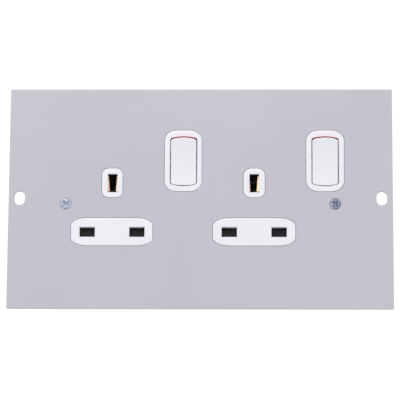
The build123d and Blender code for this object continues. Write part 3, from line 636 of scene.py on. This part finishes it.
def coil(radius, length, turns, around=10, per_turn=28):
    """Tube round a helix, with a length over its wire, that starts and ends in half a flat turn:
    the angle grows evenly, and the height only between those flat parts, a little slower near
    them. Each ring is a circle in the plane of the radius and the direction square to both the
    radius and the run of the wire."""
    share = np.linspace(0, 1, int(turns * per_turn) + 1)
    angle = 2 * pi * turns * share
    flat = 0.5 / turns
    rise = np.clip((share - flat) / (1 - 2 * flat), 0, 1)
    rise = rise - 0.15 * np.sin(2 * pi * rise) / (2 * pi)
    height = spring_wire / 2 + (length - spring_wire) * rise
    middle = np.stack([radius * np.cos(angle), radius * np.sin(angle), height], -1)
    run = np.gradient(middle, axis=0)
    run /= np.linalg.norm(run, axis=1, keepdims=True)
    out = np.stack([np.cos(angle), np.sin(angle), 0 * angle], -1)
    side = np.cross(run, out)
    wind = np.linspace(0, 2 * pi, around, endpoint=False)[None, :, None]
    circle = np.cos(wind) * out[:, None] + np.sin(wind) * side[:, None]
    return middle[:, None] + spring_wire / 2 * circle


# Drawn spring wire: bright hard steel with fine lines along the draw, 0.05 mm apart in truth
# and drawn 0.2 mm apart so that they show.
spring_steel = new_finish("drawn spring steel")
place = add_node(spring_steel, "ShaderNodeTexCoord")
lines = add_node(
    spring_steel, "ShaderNodeTexNoise", {"Scale": 1 / (0.2 * mm), "Detail": 3.0},
    {"Vector": place.outputs["Object"]},
)
tone = add_node(spring_steel, "ShaderNodeValToRGB", links={"Fac": lines.outputs["Fac"]})
tone.color_ramp.elements[0].color = colour("A8A9AC")
tone.color_ramp.elements[1].color = colour("CBCCCF")
wire_shader = add_node(
    spring_steel, "ShaderNodeBsdfPrincipled", {"Metallic": 1.0, "Roughness": 0.28},
    {"Base Color": tone.outputs["Color"]},
)
add_node(spring_steel, "ShaderNodeOutputMaterial", links={"Surface": wire_shader.outputs["BSDF"]})

for gang in gang_x:
    rings = coil(plunger_coil_radius, plunger_coil_length, plunger_coil_turns)
    rings = rings + (0, 0, plunger_coil_low_z)
    add_piece(
        f"plunger_coil_{gang}", on_pivot([skin(rings, True, True)], gang), spring_steel,
        f"{gang}_rocker", "spring_steel", f"plunger_spring_{gang}",
    )
    dress(gloss_white, f"plunger_{gang}")

# Contacts, jaws and conductors
# See-saw blades, spring jaws, links and busbars blanked from brass strip and folded, with
# silver alloy tips at the switches, and an earth strap that takes the plate screws.
leaf_x, leaf_thickness, leaf_bend = 1.75, 0.5, 0.27
jaw_floor_z, jaw_lip_x, jaw_lip_z = 4.8, 2.9, 26.62
jaw_half_length = 3.5
jaw_spread = 0.07
jaw_shift = {"left": 0.0, "right": -0.35}
# Heights between which the earth jaws' painted shade fades: full below the first, none above the
# second.
full_shade_z, shade_free_z = 25.8, 26.4

# Rolled brass, bare: warm pale gold, lightly dulled, with rolling lines along the strip.
rolled_brass = new_finish("rolled brass")
place = add_node(rolled_brass, "ShaderNodeTexCoord")
stretched = add_node(
    rolled_brass, "ShaderNodeMapping", {"Scale": (1.0, 12.0, 1.0)},
    {"Vector": place.outputs["Object"]},
)
rolling = add_node(
    rolled_brass, "ShaderNodeTexNoise", {"Scale": 1 / (4 * mm), "Detail": 4.0},
    {"Vector": stretched.outputs["Vector"]},
)
tone = add_node(rolled_brass, "ShaderNodeValToRGB", links={"Fac": rolling.outputs["Fac"]})
tone.color_ramp.elements[0].position = 0.3
tone.color_ramp.elements[0].color = colour("E2C2A4")
tone.color_ramp.elements[1].position = 0.7
tone.color_ramp.elements[1].color = colour("EFD5BC")
dull = add_node(
    rolled_brass, "ShaderNodeMapRange", {"To Min": 0.52, "To Max": 0.65},
    {"Value": rolling.outputs["Fac"]},
)
roll_bump = add_node(
    rolled_brass, "ShaderNodeBump", {"Strength": 0.2, "Distance": 0.02 * mm},
    {"Height": rolling.outputs["Fac"]},
)
brass_shader = add_node(
    rolled_brass, "ShaderNodeBsdfPrincipled", {"Metallic": 1.0},
    {
        "Base Color": tone.outputs["Color"],
        "Roughness": dull.outputs["Result"],
        "Normal": roll_bump.outputs["Normal"],
    },
)
add_node(rolled_brass, "ShaderNodeOutputMaterial", links={"Surface": brass_shader.outputs["BSDF"]})

# Silver alloy tip, pressed: near white, softly bright.
silver_tip = new_finish("silver alloy")
place = add_node(silver_tip, "ShaderNodeTexCoord")
bloom = add_node(
    silver_tip, "ShaderNodeTexNoise", {"Scale": 1 / (0.8 * mm), "Detail": 3.0},
    {"Vector": place.outputs["Object"]},
)
tone = add_node(silver_tip, "ShaderNodeValToRGB", links={"Fac": bloom.outputs["Fac"]})
tone.color_ramp.elements[0].color = colour("D6D5D0")
tone.color_ramp.elements[1].color = colour("EEEDEA")
silver_shader = add_node(
    silver_tip, "ShaderNodeBsdfPrincipled", {"Metallic": 1.0, "Roughness": 0.3},
    {"Base Color": tone.outputs["Color"]},
)
add_node(silver_tip, "ShaderNodeOutputMaterial", links={"Surface": silver_shader.outputs["BSDF"]})

# The earth jaws' brass: the lips keep the pale brass colour, and the leaves below are painted
# brown, a painted shade for the shade deep in the slot.
shaded_clip_brass = rolled_brass.copy()
shaded_clip_brass.name = "clip brass with painted shade"
clip_nodes = shaded_clip_brass.node_tree.nodes
clip_height = add_node(
    shaded_clip_brass, "ShaderNodeSeparateXYZ",
    links={"Vector": clip_nodes["Texture Coordinate"].outputs["Object"]},
)
# Painted shade: full below one height, fading out up to the lips.
shade_fade = add_node(
    shaded_clip_brass, "ShaderNodeMapRange",
    {"From Min": full_shade_z * mm, "From Max": shade_free_z * mm, "To Min": 1.0, "To Max": 0.0},
    {"Value": clip_height.outputs["Z"]},
)
# The painted shade's dark brown, multiplied into the brass.
painted_shade_mix = add_node(
    shaded_clip_brass, "ShaderNodeMixRGB", {"Color2": colour("54402E")},
    {"Fac": shade_fade.outputs["Result"], "Color1": clip_nodes["Color Ramp"].outputs["Color"]},
    blend_type="MULTIPLY",
)
shaded_clip_brass.node_tree.links.new(
    painted_shade_mix.outputs["Color"], clip_nodes["Principled BSDF"].inputs["Base Color"]
)

# The strap behind the jaws is painted dark brown where the rest is pale, a painted shade for the
# shade it lies in behind the slots.
shaded_strap_brass = rolled_brass.copy()
shaded_strap_brass.name = "strap brass with painted shade"
strap_shade_ramp = shaded_strap_brass.node_tree.nodes["Color Ramp"].color_ramp
strap_shade_ramp.elements[0].color = colour("33281E")
strap_shade_ramp.elements[1].color = colour("4A3A2A")


def folded(points, bend, thickness, steps=7):
    """Outline of a folded strip seen from its edge. The middle line runs straight between the
    points and turns at each on an arc of the bend radius. The outline stands off from it to both
    sides by half the thickness, out along one side and back along the other."""
    points = np.array(points, dtype=float)
    runs = np.diff(points, axis=0)
    runs /= np.linalg.norm(runs, axis=1, keepdims=True)
    lefts = np.stack([-runs[:, 1], runs[:, 0]], -1)
    path, normals = [points[:1]], [lefts[:1]]
    for corner, run, left, after in zip(points[1:-1], runs, lefts, runs[1:]):
        turn = np.arctan2(left @ after, run @ after)
        start = corner - run * bend * np.tan(abs(turn) / 2)
        angle = np.linspace(0, turn, steps)[:, None]
        normal = left * np.cos(angle) - run * np.sin(angle)
        path.append(start + np.sign(turn) * bend * (left - normal))
        normals.append(normal)
    path = np.concatenate(path + [points[-1:]])
    reach = np.concatenate(normals + [lefts[-1:]]) * thickness / 2
    return np.concatenate([path + reach, (path - reach)[::-1]])


def earth_clip(x_middle):
    """Strip folded to a U with its lips rolled outwards under the face, and carried along the
    earth slot. The leaves lean apart towards the slot's upper end by 0.07 mm for each millimetre
    along it, and the floor of the U widens in step."""
    half = [(leaf_x, jaw_floor_z), (leaf_x, jaw_lip_z), (jaw_lip_x, jaw_lip_z)]
    middle_line = [(-x, z) for x, z in half[::-1]] + half
    x, z = folded(middle_line, leaf_bend, leaf_thickness).T
    along = np.linspace(-jaw_half_length, jaw_half_length, 8)[:, None]
    lean = np.clip(x / (leaf_x - leaf_thickness / 2), -1, 1)
    x = x_middle + x + jaw_spread * along * lean
    return skin(np.stack(np.broadcast_arrays(x, earth_y + along, z), -1), True, True)


# The earth strap takes the brass darkened as painted shade.
dress(shaded_strap_brass, "earth_strap")
dress(rolled_brass, "line_busbar", "neutral_busbar")
for gang, x in gang_x.items():
    # Each earth clip takes the brass with painted shade below its lips.
    add_piece(
        f"earth_clip_{gang}", [earth_clip(x + jaw_shift[gang])], shaded_clip_brass,
        "module", "brass", f"earth_jaw_{gang}",
    )
    dress(rolled_brass, f"line_jaw_{gang}", f"neutral_jaw_{gang}")
    dress(rolled_brass, f"line_link_{gang}", f"contact_blade_{gang}")
    dress(silver_tip, f"moving_contact_{gang}", f"fixed_contact_{gang}")

# Shutters, their springs and retainers
# Black nylon shutters close the line and neutral slots. The earth pin's tip pushes each one
# down by its ramped nose, against a spring in its window. A white retainer behind holds it.
shutter_coil_radius, shutter_coil_turns = 1.1, 7
shutter_coil_low_y, shutter_coil_length, shutter_mid_z = -8.965, 10.0, 24.2

# Black nylon, injection moulded: dark neutral grey, matt, with scuffs where pins have rubbed.
black_nylon = new_finish("black nylon")
place = add_node(black_nylon, "ShaderNodeTexCoord")
scuffs = add_node(
    black_nylon, "ShaderNodeTexNoise", {"Scale": 1 / (1.6 * mm), "Detail": 4.0},
    {"Vector": place.outputs["Object"]},
)
tone = add_node(black_nylon, "ShaderNodeValToRGB", links={"Fac": scuffs.outputs["Fac"]})
tone.color_ramp.elements[0].position = 0.35
tone.color_ramp.elements[0].color = colour("0B0B0B")
tone.color_ramp.elements[1].position = 0.75
tone.color_ramp.elements[1].color = colour("161615")
rub = add_node(
    black_nylon, "ShaderNodeMapRange", {"To Min": 0.4, "To Max": 0.6},
    {"Value": scuffs.outputs["Fac"]},
)
nylon_shader = add_node(
    black_nylon, "ShaderNodeBsdfPrincipled", {"Specular IOR Level": 0.18},
    {"Base Color": tone.outputs["Color"], "Roughness": rub.outputs["Result"]},
)
add_node(black_nylon, "ShaderNodeOutputMaterial", links={"Surface": nylon_shader.outputs["BSDF"]})

for gang, x in gang_x.items():
    dress(black_nylon, f"shutter_{gang}")
    rings = coil(shutter_coil_radius, shutter_coil_length, shutter_coil_turns)
    rings = rings[..., [0, 2, 1]] * (-1, 1, 1) + (x, shutter_coil_low_y, shutter_mid_z)
    shutter_coil = add_piece(
        f"shutter_coil_{gang}", [skin(rings, True, True)], spring_steel,
        "module", "spring_steel", f"shutter_spring_{gang}",
    )
    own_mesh(shutter_coil)

# Rear housing, retainers and housing screws
# A deep tray of white nylon closes the back. Two self-tapping screws in wells hold it, and
# ports let the wires in to the terminals, whose screws are reached from the back.

# Filled nylon, injection moulded against a sparked tool: slightly grey white, dry and matt.
# The sparked grain is 0.15 mm in truth and drawn 0.35 mm so that it shows.
matt_nylon = new_finish("white filled nylon")
place = add_node(matt_nylon, "ShaderNodeTexCoord")
spark = add_node(
    matt_nylon, "ShaderNodeTexNoise", {"Scale": 1 / (0.35 * mm), "Detail": 2.0},
    {"Vector": place.outputs["Object"]},
)
flow = add_node(
    matt_nylon, "ShaderNodeTexNoise", {"Scale": 1 / (20 * mm), "Detail": 3.0},
    {"Vector": place.outputs["Object"]},
)
tone = add_node(matt_nylon, "ShaderNodeValToRGB", links={"Fac": flow.outputs["Fac"]})
tone.color_ramp.elements[0].position = 0.3
tone.color_ramp.elements[0].color = colour("DDDDDF")
tone.color_ramp.elements[1].position = 0.7
tone.color_ramp.elements[1].color = colour("E3E3E5")
spark_bump = add_node(
    matt_nylon, "ShaderNodeBump", {"Strength": 0.5, "Distance": 0.03 * mm},
    {"Height": spark.outputs["Fac"]},
)
matt_shader = add_node(
    matt_nylon, "ShaderNodeBsdfPrincipled", {"Roughness": 0.6},
    {"Base Color": tone.outputs["Color"], "Normal": spark_bump.outputs["Normal"]},
)
add_node(matt_nylon, "ShaderNodeOutputMaterial", links={"Surface": matt_shader.outputs["BSDF"]})
dress(matt_nylon, "rear_housing", "shutter_retainer_left", "shutter_retainer_right")
dress(zinc_plate, "housing_screws")

# Terminals
# Sawn brass blocks with a bore for the wire from the upper side and a slotted steel screw
# from the back.
for name in ("neutral_terminal", "line_terminal", "earth_terminal"):
    dress(rolled_brass, name)
    dress(zinc_plate, f"{name}_screw")

# Floor, light and ground
# A plain pale floor a hair under the flat back of the housing, one wide soft light above the
# plate's upper left and an even white surround.
floor_reach = 3.0
floor_z = -0.05 * mm
floor_corners = [
    (x * floor_reach, y * floor_reach, floor_z) for x, y in ((-1, -1), (1, -1), (1, 1), (-1, 1))
]
floor_mesh = bpy.data.meshes.new("floor")
floor_mesh.from_pydata(floor_corners, [], [(0, 1, 2, 3)])
floor = bpy.data.objects.new("floor", floor_mesh)
bpy.context.collection.objects.link(floor)

# Matt white card: it takes the object's shadow, and towards the camera and in reflections it
# is lifted to white.
card_lift = 0.88
white_card = new_finish("white card")
rays = add_node(white_card, "ShaderNodeLightPath")
seen = add_node(
    white_card, "ShaderNodeMath",
    links={0: rays.outputs["Is Camera Ray"], 1: rays.outputs["Is Glossy Ray"]},
    operation="MAXIMUM",
)
shown = add_node(
    white_card, "ShaderNodeMath",
    links={0: seen.outputs[0], 1: rays.outputs["Is Transmission Ray"]},
    operation="MAXIMUM",
)
lift = add_node(
    white_card, "ShaderNodeMath", {1: card_lift}, {0: shown.outputs[0]}, operation="MULTIPLY"
)
card = add_node(white_card, "ShaderNodeBsdfDiffuse", {"Color": colour("F2F2F2")})
glow = add_node(white_card, "ShaderNodeEmission", {"Color": (1, 1, 1, 1), "Strength": 1.1})
mixed = add_node(
    white_card, "ShaderNodeMixShader",
    links={0: lift.outputs[0], 1: card.outputs[0], 2: glow.outputs[0]},
)
add_node(white_card, "ShaderNodeOutputMaterial", links={"Surface": mixed.outputs[0]})
floor_mesh.materials.append(white_card)

lamp_data = bpy.data.lights.new("soft light", "AREA")
lamp_data.shape = "RECTANGLE"
lamp_data.size = 1.4
lamp_data.size_y = 1.1
lamp_data.energy = 21.0
lamp = bpy.data.objects.new("soft light", lamp_data)
lamp.location = (-0.35, 1.1, 1.6)
aim = Vector((0, 0, plate_face * mm)) - lamp.location
lamp.rotation_euler = aim.to_track_quat("-Z", "Y").to_euler()
bpy.context.collection.objects.link(lamp)

# The surround lights the object at 0.55 and shows as white, also in reflections.
world = bpy.data.worlds.new("surround")
bpy.context.scene.world = world
world.use_nodes = True
surround = world.node_tree.nodes["Background"]
surround.inputs["Color"].default_value = (1, 1, 1, 1)
rays = add_node(world, "ShaderNodeLightPath")
seen = add_node(
    world, "ShaderNodeMath",
    links={0: rays.outputs["Is Camera Ray"], 1: rays.outputs["Is Glossy Ray"]},
    operation="MAXIMUM",
)
shown = add_node(
    world, "ShaderNodeMath",
    links={0: seen.outputs[0], 1: rays.outputs["Is Transmission Ray"]},
    operation="MAXIMUM",
)
strength = add_node(
    world, "ShaderNodeMapRange", {"To Min": 0.55, "To Max": 1.0}, {"Value": shown.outputs[0]}
)
world.node_tree.links.new(strength.outputs["Result"], surround.inputs["Strength"])
bpy.context.scene.view_settings.view_transform = "Standard"
